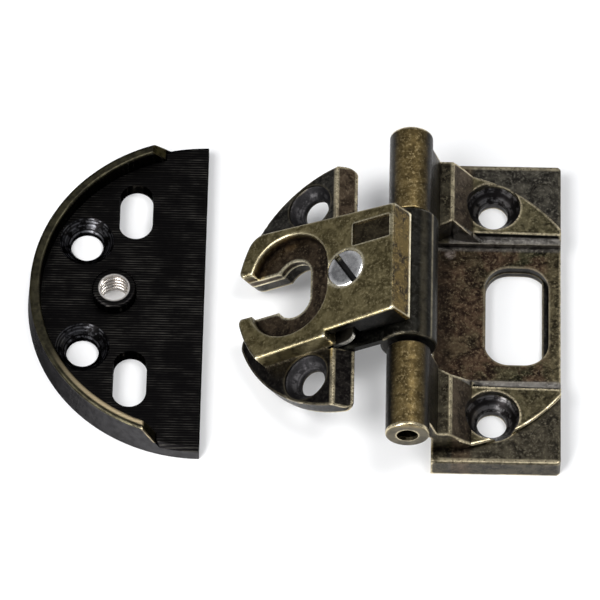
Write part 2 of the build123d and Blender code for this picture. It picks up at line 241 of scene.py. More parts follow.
def distanceFrom(tree, centre, stretch=(1, 1, 1)):
    # a stretch of 0 along an axis measures from a line instead of a point
    scaled = tuple(c * s for c, s in zip(centre, stretch))
    return vectorStep(tree, "DISTANCE", objectPlace(tree, stretch), scaled).outputs["Value"]


def distanceFromAxis(tree, centre, direction):
    # distance from the line through centre along direction
    offset = vectorStep(tree, "SUBTRACT", objectPlace(tree), centre)
    turned = vectorStep(tree, "CROSS_PRODUCT", offset.outputs["Vector"], direction)
    length = tree.nodes.new("ShaderNodeVectorMath")
    length.operation = "LENGTH"
    tree.links.new(turned.outputs["Vector"], length.inputs[0])
    return length.outputs["Value"]


def facingUp(tree, fade):
    coordinate = tree.nodes.new("ShaderNodeTexCoord")
    facing = tree.nodes.new("ShaderNodeSeparateXYZ")
    tree.links.new(coordinate.outputs["Normal"], facing.inputs["Vector"])
    return spread(tree, facing.outputs["Z"], fade)


# Sizes and shares of wear that all the castings have
casting = {
    "blotch": 2.0, "blotchFade": (0.36, 0.64), "fleck": 0.5, "fleckFade": (0.50, 0.68),
    "soot": (0.006, 0.005, 0.005), "cornerReach": 1.8, "cornerFade": (0.12, 0.7), "cornerDirt": 0.85,
    "bare": (0.72, 0.62, 0.41), "edgeReach": 0.7, "edgeFade": (0.15, 0.45),
    "rub": 0.85, "rubLeast": 0.35, "rubGrain": 2.4, "rubFade": (0.32, 0.6),
    "holes": (), "ringWidth": 0.7,
    "roughest": 0.48, "smoothest": 0.30, "roughFade": (0.35, 0.65), "polish": 0.14,
    "castDepth": 0.04, "lumpShare": 0.6, "grainShare": 0.4,
}
turnedMarks = {"ringFade": (0.36, 0.76), "breakGrain": 1.5, "breakFade": (0.42, 0.58), "rim": (-0.12, 0.08)}


# Patina: dark ground, middle tone in blotches, lighter flecks on top
def patina(tree, look, tones):
    blotches = spread(tree, noise(tree, look["blotch"], 4, 0.6, distortion=0.5), look["blotchFade"])
    flecks = spread(tree, noise(tree, look["fleck"], 5, 0.75), look["fleckFade"])
    dark, middle, light = tones
    return blendColour(tree, flecks, blendColour(tree, blotches, dark, middle), light)


# Turned marks about each hole's axis: broken rings, out to a reach, and the cones that hold them. The light
# rings are partly real marks and partly painted glints in the countersinks
def ringMarks(tree, centres, direction, reach, width):
    rings = []
    cones = []
    for centre in centres:
        away = distanceFromAxis(tree, centre, direction)
        cone = before(tree, away, [reach + side for side in turnedMarks["rim"]])
        wave = tree.nodes.new("ShaderNodeTexNoise")
        wave.noise_dimensions = "1D"
        wave.inputs["Scale"].default_value = 1 / (width * mm)
        tree.links.new(away, wave.inputs["W"])
        rings.append(overlap(tree, spread(tree, wave.outputs["Fac"], turnedMarks["ringFade"]), cone))
        cones.append(cone)
    broken = spread(tree, noise(tree, turnedMarks["breakGrain"], 4, 0.65), turnedMarks["breakFade"])
    return overlap(tree, either(tree, *rings), broken), either(tree, *cones)


# Antique brass: low ground stays dark, raised ground is olive, outer edges are rubbed bright
def agedBrass(name, look, zones, ridges, shelters):
    material, tree, shader = newMaterial(name)
    colour = patina(tree, look, look["ground"])
    for tones, zone in zones:
        colour = blendColour(tree, zone(tree), colour, patina(tree, look, look[tones]))
    grain = noise(tree, look["fleck"], 5, 0.7)
    rough = spread(tree, grain, look["roughFade"], look["smoothest"], look["roughest"])
    if look["holes"]:
        rings, cones = ringMarks(tree, look["holes"], look["holeAxis"], look["holeReach"], look["ringWidth"])
        # countersinks: dark, with light grey rings that are partly turned marks and partly painted glints
        drilled = blendColour(tree, rings, look["drilled"], look["drilledMarkAndGlint"])
        colour = blendColour(tree, cones, colour, drilled)
        rough = combine(tree, "ADD", rough, overlap(tree, cones, look["holeDull"]))
    corners = spread(tree, cornerShade(tree, look["cornerReach"], False), look["cornerFade"])
    colour = blendColour(tree, overlap(tree, corners, look["cornerDirt"]), colour, look["soot"])
    edge = spread(tree, cornerShade(tree, look["edgeReach"], True), look["edgeFade"])
    for ridge in ridges:
        edge = either(tree, edge, ridge(tree))
    for shelter in shelters:
        edge = overlap(tree, edge, without(tree, shelter(tree)))
    broken = spread(tree, noise(tree, look["rubGrain"], 4, 0.7), look["rubFade"], look["rubLeast"])
    rubbed = overlap(tree, edge, broken, look["rub"])
    colour = blendColour(tree, rubbed, colour, look["bare"])
    tree.links.new(colour, shader.inputs["Base Color"])
    smoothed = combine(tree, "SUBTRACT", rough, overlap(tree, rubbed, look["polish"]))
    tree.links.new(smoothed, shader.inputs["Roughness"])
    shader.inputs["Metallic"].default_value = 1.0
    lumps = overlap(tree, noise(tree, look["blotch"], 3, 0.5), look["lumpShare"])
    height = combine(tree, "ADD", lumps, overlap(tree, grain, look["grainShare"]))
    bump(tree, shader, height, look["castDepth"])
    return material


# Cabinet leaf. Tones run from dark to light. Places are fades from one size to another: along x
# from the pin, along y from the middle, along z from the table
leaf = dict(
    casting,
    ground=((0.024, 0.021, 0.012), (0.110, 0.095, 0.052), (0.21, 0.183, 0.108)),
    pocket=((0.020, 0.012, 0.009), (0.095, 0.060, 0.037), (0.19, 0.140, 0.085)),
    olive=((0.010, 0.010, 0.006), (0.060, 0.055, 0.030), (0.16, 0.145, 0.085)),
    corner=((0.022, 0.020, 0.017), (0.078, 0.071, 0.056), (0.145, 0.134, 0.107)),
    shaded=((0.012, 0.009, 0.007), (0.024, 0.017, 0.012), (0.050, 0.038, 0.026)),
    nearMoonShade=((0.016, 0.013, 0.008), (0.056, 0.045, 0.025), (0.12, 0.100, 0.058)),
    # wall tones: light grey, a painted sheen on the pocket's sloping walls
    wall=((0.10, 0.092, 0.082), (0.22, 0.205, 0.185), (0.32, 0.30, 0.27)),
    shadeLine=((0.006, 0.006, 0.005), (0.006, 0.006, 0.005), (0.020, 0.017, 0.012)),
    glintMark=((0.14, 0.118, 0.105), (0.30, 0.25, 0.22), (0.44, 0.375, 0.34)),
    flank=((0.026, 0.018, 0.012), (0.085, 0.063, 0.042), (0.165, 0.130, 0.086)),
    windowWall=((0.010, 0.010, 0.009), (0.024, 0.023, 0.022), (0.060, 0.056, 0.052)),
    web=((0.016, 0.013, 0.009), (0.060, 0.052, 0.035), (0.13, 0.113, 0.075)),
    eyeSideShade=((0.006, 0.005, 0.004), (0.016, 0.013, 0.009), (0.038, 0.030, 0.019)),
    eyeTopLight=((0.100, 0.071, 0.029), (0.215, 0.155, 0.063), (0.37, 0.29, 0.150)),
    drilled=(0.018, 0.016, 0.016), drilledMarkAndGlint=(0.29, 0.28, 0.28),
    holes=mountHoles("leaf_screws"), holeAxis=(0, 0, 1), holeReach=4.75, holeDull=0.0,
    pocketTop=(3.2, 4.6), pocketSide=(14.0, 14.4),
    freeEdge=(-3.6, -1.2), freeEdgeLeast=0.25,  # from the free edge
    oliveGrain=4.5, oliveFade=(0.44, 0.60), oliveReach=(7.0, 22.0), oliveLeast=0.35,
    shadedReach=(6.2, 8.2), shadedMost=0.75,
    moonCentre=4.4, moonRadius=27.9, moonTop=(4.25, 4.5), moonFacing=(0.1, 0.5),
    moonCorner=(0.0, 0.3), moonLine=((-0.65, -0.25), (0.0, 0.08)),  # from the round outline
    nearMoonSide=(-16.5, -14.5), nearMoonReach=(7.0, 8.0), nearMoonMost=0.5,
    wallStrip=((12.7, 13.7), (15.3, 15.6)), footStrip=((13.2, 13.5), (14.6, 14.9)), footMost=0.85,
    shadeLineStrip=((14.95, 15.15), (15.4, 15.5)), edgeStrip=((15.4, 15.5), (15.7, 15.95)),
    flatReach=(10.9, 11.5), flankReach=((7.5, 7.9), (10.4, 11.6)), flankSide=(15.5, 15.8),
    eyeReach=(4.0, 4.6), besideEye=(4.6, 5.4), eyeHeight=(2.2, 3.7),  # the height is above the pin
    eyeRim=((29.2, 29.5), (29.8, 29.98)), eyeRimLeast=0.15,
    webReach=(6.7, 7.2), webSide=(13.5, 14.0), crest=(7.4, 9.15), crestLine=(0.1, 0.55), crestMost=0.85,
    windowReach=((12.3, 12.6), (25.9, 26.1)), windowSide=(10.4, 10.8), windowTop=(2.4, 2.75),
    windowRim=0.6,
    lipSide=(28.9, 29.4), lipReach=(5.0, 5.6), lipFacing=(0.6, 0.9), lipMost=0.5,
    ejectors=((23.4, 24.5), (6.6, 12.3), (24.0, 11.3)), ejectorSize=(2.1, 2.5), ejectorMost=0.9,
    lightMarkPlace=(7.2, 12.4), lightMarkSize=(0.4, 1.3), lightMarkMost=0.9,
    lightMarkGrain=0.9, lightMarkFade=(0.38, 0.58), lightMarkLeast=0.3,
)


def pocketOfLeaf(tree):
    low = before(tree, axisValue(tree, "Z"), leaf["pocketTop"])
    inside = before(tree, fromMiddle(tree), leaf["pocketSide"])
    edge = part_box("cabinet_leaf")[1][0]
    fromEdge = combine(tree, "SUBTRACT", axisValue(tree, "X"), edge, False)
    rubbedAway = before(tree, fromEdge, leaf["freeEdge"], 1.0, leaf["freeEdgeLeast"])
    return overlap(tree, low, inside, rubbedAway)


def oliveOfPocket(tree):
    cloudy = spread(tree, noise(tree, leaf["oliveGrain"], 3, 0.6), leaf["oliveFade"])
    outward = past(tree, fromPin(tree), leaf["oliveReach"], 1.0, leaf["oliveLeast"])
    return overlap(tree, pocketOfLeaf(tree), cloudy, outward)


def knuckleShadowOnPocket(tree):
    # painted shadow: the pocket is painted dark beside the knuckle, where the knuckle shades it
    return before(tree, fromPin(tree), leaf["shadedReach"], leaf["shadedMost"])


def pastMoon(tree):
    # distance past the half moons' round outline
    away = distanceFrom(tree, (pinAxis.x + leaf["moonCentre"] * mm, 0, 0), (1, 1, 0))
    return combine(tree, "SUBTRACT", away, leaf["moonRadius"] * mm, False)


def besideEyes(tree):
    return past(tree, fromPin(tree), leaf["besideEye"])


def topOfMoons(tree):
    return past(tree, axisValue(tree, "Z"), leaf["moonTop"])


def cornersOfLeaf(tree):
    return past(tree, pastMoon(tree), leaf["moonCorner"])


def arcOfMoons(tree):
    arc = strip(tree, pastMoon(tree), *leaf["moonLine"])
    return overlap(tree, arc, topOfMoons(tree), facingUp(tree, leaf["moonFacing"]), besideEyes(tree))


# painted shade: the near half moon is painted darker than the far one, as less light reaches it
def nearMoonShade(tree):
    side = before(tree, axisValue(tree, "Y"), leaf["nearMoonSide"], leaf["nearMoonMost"])
    return overlap(tree, side, past(tree, fromPin(tree), leaf["nearMoonReach"]))


def sheenOfMoonWalls(tree):
    # painted sheen: the sloping walls on both sides of the pocket, and the soft start of its floor, are
    # painted light grey as they catch the light
    return strip(tree, fromMiddle(tree), *leaf["wallStrip"])


def footOfMoons(tree):
    foot = strip(tree, fromMiddle(tree), *leaf["footStrip"])
    return overlap(tree, foot, besideEyes(tree), leaf["footMost"])


# painted shade: a thin near-black line just inside the half moons' edges, where the edge shades the wall
# below
def shadeLineUnderMoons(tree):
    line = strip(tree, fromMiddle(tree), *leaf["shadeLineStrip"])
    return overlap(tree, line, past(tree, fromPin(tree), leaf["flatReach"]))


def edgesOfMoons(tree):
    line = strip(tree, fromMiddle(tree), *leaf["edgeStrip"])
    return overlap(tree, line, topOfMoons(tree), past(tree, fromPin(tree), leaf["flatReach"]))


def flanksOfLeaf(tree):
    slope = strip(tree, fromPin(tree), *leaf["flankReach"])
    return overlap(tree, slope, past(tree, fromMiddle(tree), leaf["flankSide"]))


# painted shade: as a zone this paints the whole eye dark, standing for the shade on its sides; its place also
# bounds the eyes' tops and rims
def sidesOfEyes(tree):
    return before(tree, fromPin(tree), leaf["eyeReach"])


# painted light: the eyes' tops are painted lighter, where light falls on them
def litTopsOfEyes(tree):
    level = combine(tree, "SUBTRACT", axisValue(tree, "Z"), pinAxis.z, False)
    return overlap(tree, sidesOfEyes(tree), past(tree, level, leaf["eyeHeight"]))


def rimsOfEyes(tree):
    start, end = leaf["eyeRim"]
    away = fromMiddle(tree)
    rim = overlap(tree, past(tree, away, start), before(tree, away, end, 1.0, leaf["eyeRimLeast"]))
    return overlap(tree, sidesOfEyes(tree), rim)


def websOfEyes(tree):
    near = before(tree, fromPin(tree), leaf["webReach"])
    return overlap(tree, near, past(tree, fromMiddle(tree), leaf["webSide"]))


def crestOfLeaf(tree):
    reach, height = leaf["crest"]
    away = distanceFrom(tree, (pinAxis.x + reach * mm, 0, height * mm), (1, 0, 1))
    return before(tree, away, leaf["crestLine"], leaf["crestMost"])


def aroundWindow(tree):
    across = strip(tree, fromPin(tree), *leaf["windowReach"])
    return overlap(tree, across, before(tree, fromMiddle(tree), leaf["windowSide"]))


def rimOfWindow(tree):
    return overlap(tree, aroundWindow(tree), leaf["windowRim"])


def wallsOfWindow(tree):
    # the inner walls, where a screwdriver never rubs
    return overlap(tree, aroundWindow(tree), before(tree, axisValue(tree, "Z"), leaf["windowTop"]))


def lipOfLeaf(tree):
    side = past(tree, fromMiddle(tree), leaf["lipSide"], leaf["lipMost"])
    return overlap(tree, side, facingUp(tree, leaf["lipFacing"]), past(tree, fromPin(tree), leaf["lipReach"]))


def ejectorMarks(tree):
    # round marks, hardly rubbed because they lie low
    place = tree.nodes.new("ShaderNodeCombineXYZ")
    tree.links.new(axisValue(tree, "X"), place.inputs["X"])
    tree.links.new(fromMiddle(tree), place.inputs["Y"])
    found = []
    for reach, side in leaf["ejectors"]:
        centre = (pinAxis.x + reach * mm, side * mm, 0)
        away = vectorStep(tree, "DISTANCE", place.outputs["Vector"], centre).outputs["Value"]
        found.append(before(tree, away, leaf["ejectorSize"], leaf["ejectorMost"]))
    return either(tree, *found)


def glintMark(tree):
    # painted highlight: a light patch by the far eye, where a small mark catches the light
    reach, side = leaf["lightMarkPlace"]
    away = distanceFrom(tree, (pinAxis.x + reach * mm, side * mm, 0), (1, 1, 0))
    grain = noise(tree, leaf["lightMarkGrain"], 4, 0.7)
    ragged = spread(tree, grain, leaf["lightMarkFade"], leaf["lightMarkLeast"])
    return overlap(tree, ragged, before(tree, away, leaf["lightMarkSize"], leaf["lightMarkMost"]))


leafBrass = agedBrass(
    "leafBrass", leaf,
    zones=(
        ("pocket", pocketOfLeaf), ("olive", oliveOfPocket), ("corner", cornersOfLeaf),
        ("shaded", knuckleShadowOnPocket), ("nearMoonShade", nearMoonShade), ("wall", sheenOfMoonWalls), ("shadeLine", shadeLineUnderMoons),
        ("glintMark", glintMark), ("flank", flanksOfLeaf), ("windowWall", wallsOfWindow),
        ("web", websOfEyes), ("eyeSideShade", sidesOfEyes), ("eyeTopLight", litTopsOfEyes),
    ),
    ridges=(crestOfLeaf, arcOfMoons, edgesOfMoons, rimsOfEyes, lipOfLeaf),
    shelters=(ejectorMarks, rimOfWindow, footOfMoons),
)


# Places on the arm and the link lie in the arm's own plane: along it from the pin, and above the pin
def armPlace(tree, direction):
    place = vectorStep(tree, "DOT_PRODUCT", objectPlace(tree), direction)
    return combine(tree, "SUBTRACT", place.outputs["Value"], direction.dot(pinAxis), False)


def alongArm(tree):
    return armPlace(tree, armAlong)


def abovePin(tree):
    return armPlace(tree, armNormal)


# Hook arm
arm = dict(
    casting,
    ground=((0.020, 0.014, 0.010), (0.075, 0.053, 0.034), (0.14, 0.108, 0.07)),
    litTop=((0.085, 0.068, 0.030), (0.205, 0.170, 0.082), (0.31, 0.262, 0.145)),
    # side tones: near-black, dark patina and painted shade on the hood's sides
    side=((0.006, 0.006, 0.006), (0.014, 0.013, 0.012), (0.030, 0.028, 0.026)),
    panel=((0.020, 0.015, 0.009), (0.050, 0.040, 0.024), (0.09, 0.075, 0.045)),
    end=((0.016, 0.010, 0.003), (0.135, 0.092, 0.026), (0.34, 0.24, 0.085)),
    bare=(0.90, 0.81, 0.57), rub=0.97, rubLeast=0.6, edgeFade=(0.15, 0.38), edgeReach=0.85, blotch=2.2,
    recessReach=(10.0, 10.6), topHeight=(8.6, 9.4),
    recessMiddle=18.55, recessHalf=2.1,  # two half circles, this far each side of the middle
    recessLine=((7.7, 7.85), (7.95, 8.25)), recessHeight=(9.3, 9.6), recessMost=0.40,
    hoodSide=(10.15, 10.5), hoodHeight=(9.5, 9.8), hoodReach=(10.7, 10.9),
    panelHeight=(9.86, 9.98), panelReach=(6.2, 6.6), panelSide=(9.0, 9.4), endReach=(-2.6, -2.4),
)


def litTopOfArm(tree):
    # painted light: everything but the recess for the clamp screw's head is painted lighter, as the arm's top
    # catches more light
    recess = past(tree, distanceFromAxis(tree, clampSeat, armNormal), arm["recessReach"])
    return either(tree, recess, past(tree, abovePin(tree), arm["topHeight"]))


def rimOfRecess(tree):
    along = combine(tree, "SUBTRACT", alongArm(tree), arm["recessMiddle"] * mm, False)
    across = combine(tree, "SUBTRACT", fromMiddle(tree), arm["recessHalf"] * mm)
    squares = combine(tree, "ADD", overlap(tree, along, along), overlap(tree, across, across))
    line = strip(tree, combine(tree, "SQRT", squares), *arm["recessLine"])
    return overlap(tree, line, past(tree, abovePin(tree), arm["recessHeight"], arm["recessMost"]))


# the hood's sides are painted near-black, partly dark patina and partly painted shade; they are also kept
# from rubbing
def shadedSidesOfHood(tree):
    side = past(tree, fromMiddle(tree), arm["hoodSide"])
    low = before(tree, abovePin(tree), arm["hoodHeight"])
    return overlap(tree, side, low, before(tree, alongArm(tree), arm["hoodReach"]))


def panelOfHood(tree):
    deep = before(tree, abovePin(tree), arm["panelHeight"])
    behind = before(tree, alongArm(tree), arm["panelReach"])
    return overlap(tree, deep, behind, before(tree, fromMiddle(tree), arm["panelSide"]))


def endOfHood(tree):
    return before(tree, alongArm(tree), arm["endReach"])


armBrass = agedBrass(
    "armBrass", arm,
    zones=(("litTop", litTopOfArm), ("side", shadedSidesOfHood), ("panel", panelOfHood), ("end", endOfHood)),
    ridges=(rimOfRecess,), shelters=(shadedSidesOfHood,),
)

# Door link
link = dict(
    casting,
    ground=((0.016, 0.015, 0.013), (0.052, 0.048, 0.041), (0.10, 0.092, 0.078)),
    bevel=((0.034, 0.024, 0.016), (0.095, 0.068, 0.045), (0.16, 0.125, 0.083)),
    nearWingShade=((0.007, 0.006, 0.006), (0.018, 0.016, 0.014), (0.040, 0.036, 0.031)),
    bayShade=((0.006, 0.006, 0.005), (0.012, 0.012, 0.010), (0.025, 0.024, 0.021)),
    knuckle=((0.011, 0.010, 0.008), (0.021, 0.020, 0.017), (0.042, 0.040, 0.034)),
    rub=0.9, drilled=(0.022, 0.021, 0.022), drilledMarkAndGlint=(0.12, 0.115, 0.118),
    holes=mountHoles("wing_screws"), holeAxis=armNormal, holeReach=4.3, holeDull=0.22,
    bevelReach=(11.2, 11.6), ridgePlace=(11.4, 6.35), ridgeLine=(0.2, 0.65),
    nearWingSide=(-8.0, -4.0), wingReach=(8.0, 8.6), shelterReach=(4.6, 5.0), shelterMost=0.85,
    bayReach=((2.5, 2.8), (12.2, 12.6)), baySide=(12.7, 12.9),
    knuckleReach=(5.1, 5.4), highlightRadius=4.9,
    highlightLines=((60, 0.13, 1.1), (38, 0.32, 0.4)),  # turn in degrees, brightness, half width
)


def bevelOfWings(tree):
    return before(tree, alongArm(tree), link["bevelReach"])


def nearWingShade(tree):
    # painted shadow: the wing under the arm's near jaw is painted darker, where the hood shades it
    near = before(tree, axisValue(tree, "Y"), link["nearWingSide"])
    return overlap(tree, near, past(tree, alongArm(tree), link["wingReach"]))


# painted shade: the link's bay under the hood is painted near-black, and kept from rubbing
def shadedBayOfLink(tree):
    middle = before(tree, fromMiddle(tree), link["baySide"])
    return overlap(tree, middle, strip(tree, alongArm(tree), *link["bayReach"]))


def knuckleOfLink(tree):
    return before(tree, distanceFrom(tree, pinAxis, (1, 0, 1)), link["knuckleReach"])


def ridgeOfWings(tree):
    reach, height = link["ridgePlace"]
    ridge = pinAxis + armAlong * reach * mm + armNormal * height * mm
    return before(tree, distanceFrom(tree, ridge, (1, 0, 1)), link["ridgeLine"])


def knuckleHighlightLines(tree):
    # painted highlights: long bright lines along the knuckle, laid on as bare metal
    lines = []
    for turn, brightness, width in link["highlightLines"]:
        outward = Vector((cos(radians(turn)), 0, sin(radians(turn))))
        away = distanceFrom(tree, pinAxis + outward * link["highlightRadius"] * mm, (1, 0, 1))
        lines.append(before(tree, away, (0, width), brightness))
    return either(tree, *lines)


def aroundWingHoles(tree):
    return either(tree, *[
        before(tree, distanceFromAxis(tree, centre, armNormal), link["shelterReach"], link["shelterMost"])
        for centre in link["holes"]
    ])


linkBrass = agedBrass(
    "linkBrass", link,
    zones=(
        ("bevel", bevelOfWings), ("nearWingShade", nearWingShade), ("bayShade", shadedBayOfLink), ("knuckle", knuckleOfLink),
    ),
    ridges=(ridgeOfWings, knuckleHighlightLines), shelters=(shadedBayOfLink, aroundWingHoles),
)

# The loose plate: black floor with fine marks along x, olive rim, bare edges and a bright tapped bore. Toward
# the near side the rim's top is painted brassy and its edges rubbed brighter, a painted highlight
plate = {
    "floor": (0.0060, 0.0056, 0.0058), "floorMark": (0.085, 0.080, 0.070),
    "holeMarkAndGlint": (0.20, 0.20, 0.215), "rim": (0.062, 0.056, 0.034), "brassy": (0.70, 0.56, 0.34),
    "wall": (0.10, 0.098, 0.10), "wallDark": (0.060, 0.0588, 0.060),
    "bare": (0.60, 0.50, 0.33), "bore": (0.68, 0.64, 0.60), "tint": (0.1, 0.1, 0.1),
    "markLength": 3.0, "markWidth": 0.14, "markHeight": 0.2, "markShare": 0.6, "markFade": (0.50, 0.86),
    "bandSpacing": 0.5, "bandStretch": 0.15, "bandShare": 0.4,
    "bandDistortion": 1.2, "bandDetail": 2, "bandDetailScale": 0.4,
    "cloud": 5.0, "cloudFade": (0.38, 0.62), "cloudLeast": 0.2,
    "streak": 1.1, "streakStretch": 0.12, "streakFade": (0.35, 0.6), "streakLeast": 0.3,
    "holeReach": 4.8, "ringWidth": 0.4,
    "rimReach": (-2.5, -2.0), "rimHeight": (3.1, 3.4), "wallReach": (-1.0, -0.6),  # from the round edge
    "brassyReach": (-1.55, -1.2), "brassyHeight": (6.0, 6.4), "litNearSide": (-0.88, -0.38),  # of the radius
    "mottle": 1.4, "mottleFade": (0.35, 0.65), "mottleLeast": 0.35, "wallFacing": (0.25, 0.5),
    "edgeReach": 0.6, "edgeFade": (0.16, 0.5), "rubGrain": 3.0, "rubFade": (0.35, 0.6),
    "rubLeast": 0.15, "rubFar": 0.14, "rubNear": 0.95, "boreEdge": (0.1, 0.35),
    "smoothest": 0.36, "roughest": 0.5, "markDepth": 0.02, "markStrength": 0.8,
}


def marksOfPlate(tree):
    squeeze = (plate["markWidth"] / plate["markLength"], 1, plate["markHeight"])
    scratches = noise(tree, plate["markWidth"], 3, 0.6, squeeze)
    bands = tree.nodes.new("ShaderNodeTexWave")
    bands.bands_direction = "Y"
    # the node's wave turns 20 radians in one unit of its scale
    bands.inputs["Scale"].default_value = 2 * pi / 20 / (plate["bandSpacing"] * mm)
    bands.inputs["Distortion"].default_value = plate["bandDistortion"]
    bands.inputs["Detail"].default_value = plate["bandDetail"]
    bands.inputs["Detail Scale"].default_value = plate["bandDetailScale"]
    tree.links.new(objectPlace(tree, (plate["bandStretch"], 1, 1)), bands.inputs["Vector"])
    lines = overlap(tree, bands.outputs["Fac"], plate["bandShare"])
    return combine(tree, "ADD", overlap(tree, scratches, plate["markShare"]), lines)


def linesOfPlate(tree, marks):
    streaks = noise(tree, plate["streak"], 3, 0.6, (plate["streakStretch"], 1, 1))
    cloudy = noise(tree, plate["cloud"], 4, 0.6)
    return overlap(
        tree, spread(tree, marks, plate["markFade"]),
        spread(tree, cloudy, plate["cloudFade"], plate["cloudLeast"]),
        spread(tree, streaks, plate["streakFade"], plate["streakLeast"]),
    )


def plateFinish():
    material, tree, shader = newMaterial("plateBrass")
    low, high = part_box("half_moon_plate")
    radius = high[0] - low[0]
    centre = (high[0], (low[1] + high[1]) / 2, 0)
    marks = marksOfPlate(tree)
    lined = linesOfPlate(tree, marks)
    floor = blendColour(tree, lined, plate["floor"], plate["floorMark"])
    holes = mountHoles("plate_screws")
    rings, cones = ringMarks(tree, holes, (0, 0, 1), plate["holeReach"], plate["ringWidth"])
    # countersinks: black, with light grey rings that are partly turned marks and partly painted glints
    floor = blendColour(tree, cones, floor, blendColour(tree, rings, plate["floor"], plate["holeMarkAndGlint"]))

    pastEdge = combine(tree, "SUBTRACT", distanceFrom(tree, centre, (1, 1, 0)), radius, False)
    height = axisValue(tree, "Z")
    atRim = overlap(tree, past(tree, pastEdge, plate["rimReach"]), past(tree, height, plate["rimHeight"]))
    mottle = spread(tree, noise(tree, plate["mottle"], 5, 0.65), plate["mottleFade"], plate["mottleLeast"])
    rim = blendColour(tree, mottle, plate["floor"], plate["rim"])
    # painted highlight: toward the near side the rim's top is brassy and its edges rubbed brighter
    nearFade = [centre[1] + share * radius for share in plate["litNearSide"]]
    litNearSide = spread(tree, axisValue(tree, "Y"), nearFade, 1.0, 0.0)
    inward = before(tree, pastEdge, plate["brassyReach"])
    ridge = overlap(tree, litNearSide, past(tree, height, plate["brassyHeight"]), inward)
    colour = blendColour(tree, atRim, floor, blendColour(tree, ridge, rim, plate["brassy"]))

    upright = without(tree, facingUp(tree, plate["wallFacing"]))
    wall = blendColour(tree, mottle, plate["wallDark"], plate["wall"])
    outside = overlap(tree, upright, past(tree, pastEdge, plate["wallReach"]))
    colour = blendColour(tree, outside, colour, wall)

    edge = spread(tree, cornerShade(tree, plate["edgeReach"], True), plate["edgeFade"])
    broken = spread(tree, noise(tree, plate["rubGrain"], 4, 0.7), plate["rubFade"], plate["rubLeast"])
    share = spread(tree, litNearSide, (0.0, 1.0), plate["rubFar"], plate["rubNear"])
    colour = blendColour(tree, overlap(tree, edge, broken, atRim, share), colour, plate["bare"])

    boreFade = [boreRadius + side * mm for side in plate["boreEdge"]]
    inBore = spread(tree, distanceFrom(tree, collar["pos_m"], (1, 1, 0)), boreFade, 1.0, 0.0)
    tree.links.new(blendColour(tree, inBore, colour, plate["bore"]), shader.inputs["Base Color"])
    rough = spread(tree, lined, (0.0, 1.0), plate["smoothest"], plate["roughest"])
    tree.links.new(rough, shader.inputs["Roughness"])
    shader.inputs["Specular Tint"].default_value = (*plate["tint"], 1)
    shader.inputs["Metallic"].default_value = 1.0
    bump(tree, shader, marks, plate["markDepth"], plate["markStrength"])
    return material


# Bright parts: adjusting screw, and darker forms of it for the pin and the spring
screw = {
    "dark": (0.26, 0.26, 0.26), "light": (0.66, 0.65, 0.64), "tone": 3.2, "toneFade": (0.3, 0.7),
    "grimeAndShade": (0.012, 0.011, 0.010), "grimeAndShadeReach": 1.6, "grimeAndShadeFade": (0.08, 0.42), "grimeAndShadeMost": 0.96,
    "bare": (0.95, 0.94, 0.92), "mark": 0.6, "markFade": (0.3, 0.7), "stretch": (1, 1, 1),
    "smoothest": 0.20, "roughest": 0.34, "markDepth": 0.01,
    "rimReach": (2.45, 3.15), "rimGrain": 2.6, "rimFade": (0.36, 0.56), "rimLeast": 0.25,
}
pin = dict(screw, dark=(0.03, 0.03, 0.03), light=(0.10, 0.10, 0.095), smoothest=0.3, roughest=0.5)
# spring: its bright bare colour is a painted highlight on its edges
spring = dict(
    screw, dark=(0.030, 0.026, 0.020), light=(0.10, 0.09, 0.07), bare=(0.97, 0.94, 0.86),
    stretch=(1, 0.1, 1), grimeAndShadeReach=0.1, smoothest=0.42, roughest=0.55, edgeSide=(11.2, 11.6),
)


def brightMetal(name, look, worn=()):
    material, tree, shader = newMaterial(name)
    marks = noise(tree, look["mark"], 4, 0.6, look["stretch"])
    tone = spread(tree, noise(tree, look["tone"], 4, 0.6), look["toneFade"])
    colour = blendColour(tree, tone, look["dark"], look["light"])
    for part in worn:
        colour = blendColour(tree, part(tree), colour, look["bare"])
    # grime and painted shade: corners and the screw's slot are painted near-black
    corners = cornerShade(tree, look["grimeAndShadeReach"], False)
    grimedAndShaded = spread(tree, corners, look["grimeAndShadeFade"], 0.0, look["grimeAndShadeMost"])
    tree.links.new(blendColour(tree, grimedAndShaded, colour, look["grimeAndShade"]), shader.inputs["Base Color"])
    rough = spread(tree, marks, look["markFade"], look["smoothest"], look["roughest"])
    tree.links.new(rough, shader.inputs["Roughness"])
    shader.inputs["Metallic"].default_value = 1.0
    bump(tree, shader, marks, look["markDepth"])
    return material


def rimOfScrew(tree):
    away = past(tree, distanceFromAxis(tree, screwAxis, armNormal), screw["rimReach"])
    grain = noise(tree, screw["rimGrain"], 3, 0.6)
    return overlap(tree, away, spread(tree, grain, screw["rimFade"], screw["rimLeast"]))


# painted highlight: the spring's near and far edges are painted in its bright bare colour
def springEdgeHighlights(tree):
    return past(tree, fromMiddle(tree), spring["edgeSide"])


materials = {
    "cabinet_leaf": leafBrass,
    "door_link": linkBrass,
    "hook_arm": armBrass,
    "half_moon_plate": plateFinish(),
    "adjusting_screw": brightMetal("screwNickel", screw, (rimOfScrew,)),
    "hinge_pin": brightMetal("pinSteel", pin),
    "snap_spring": brightMetal("springBrass", spring, (springEdgeHighlights,)),
}
for nodeName, material in materials.items():
    mesh = nodes[nodeName].data
    mesh.materials.clear()
    mesh.materials.append(material)
print("materials made for", len(materials), "CAD pieces")


# The tapped collar's thread: one ridge that winds up the bore, with a gap at each of the collar's faces
thread = dict(
    screw, dark=(0.62, 0.56, 0.50), light=(0.90, 0.87, 0.83), grimeAndShadeReach=0.3, smoothest=0.14, roughest=0.3,
    pitch=1.0, ridge=0.26, ridgeSides=4, endGap=0.35, stepsPerTurn=40,
)


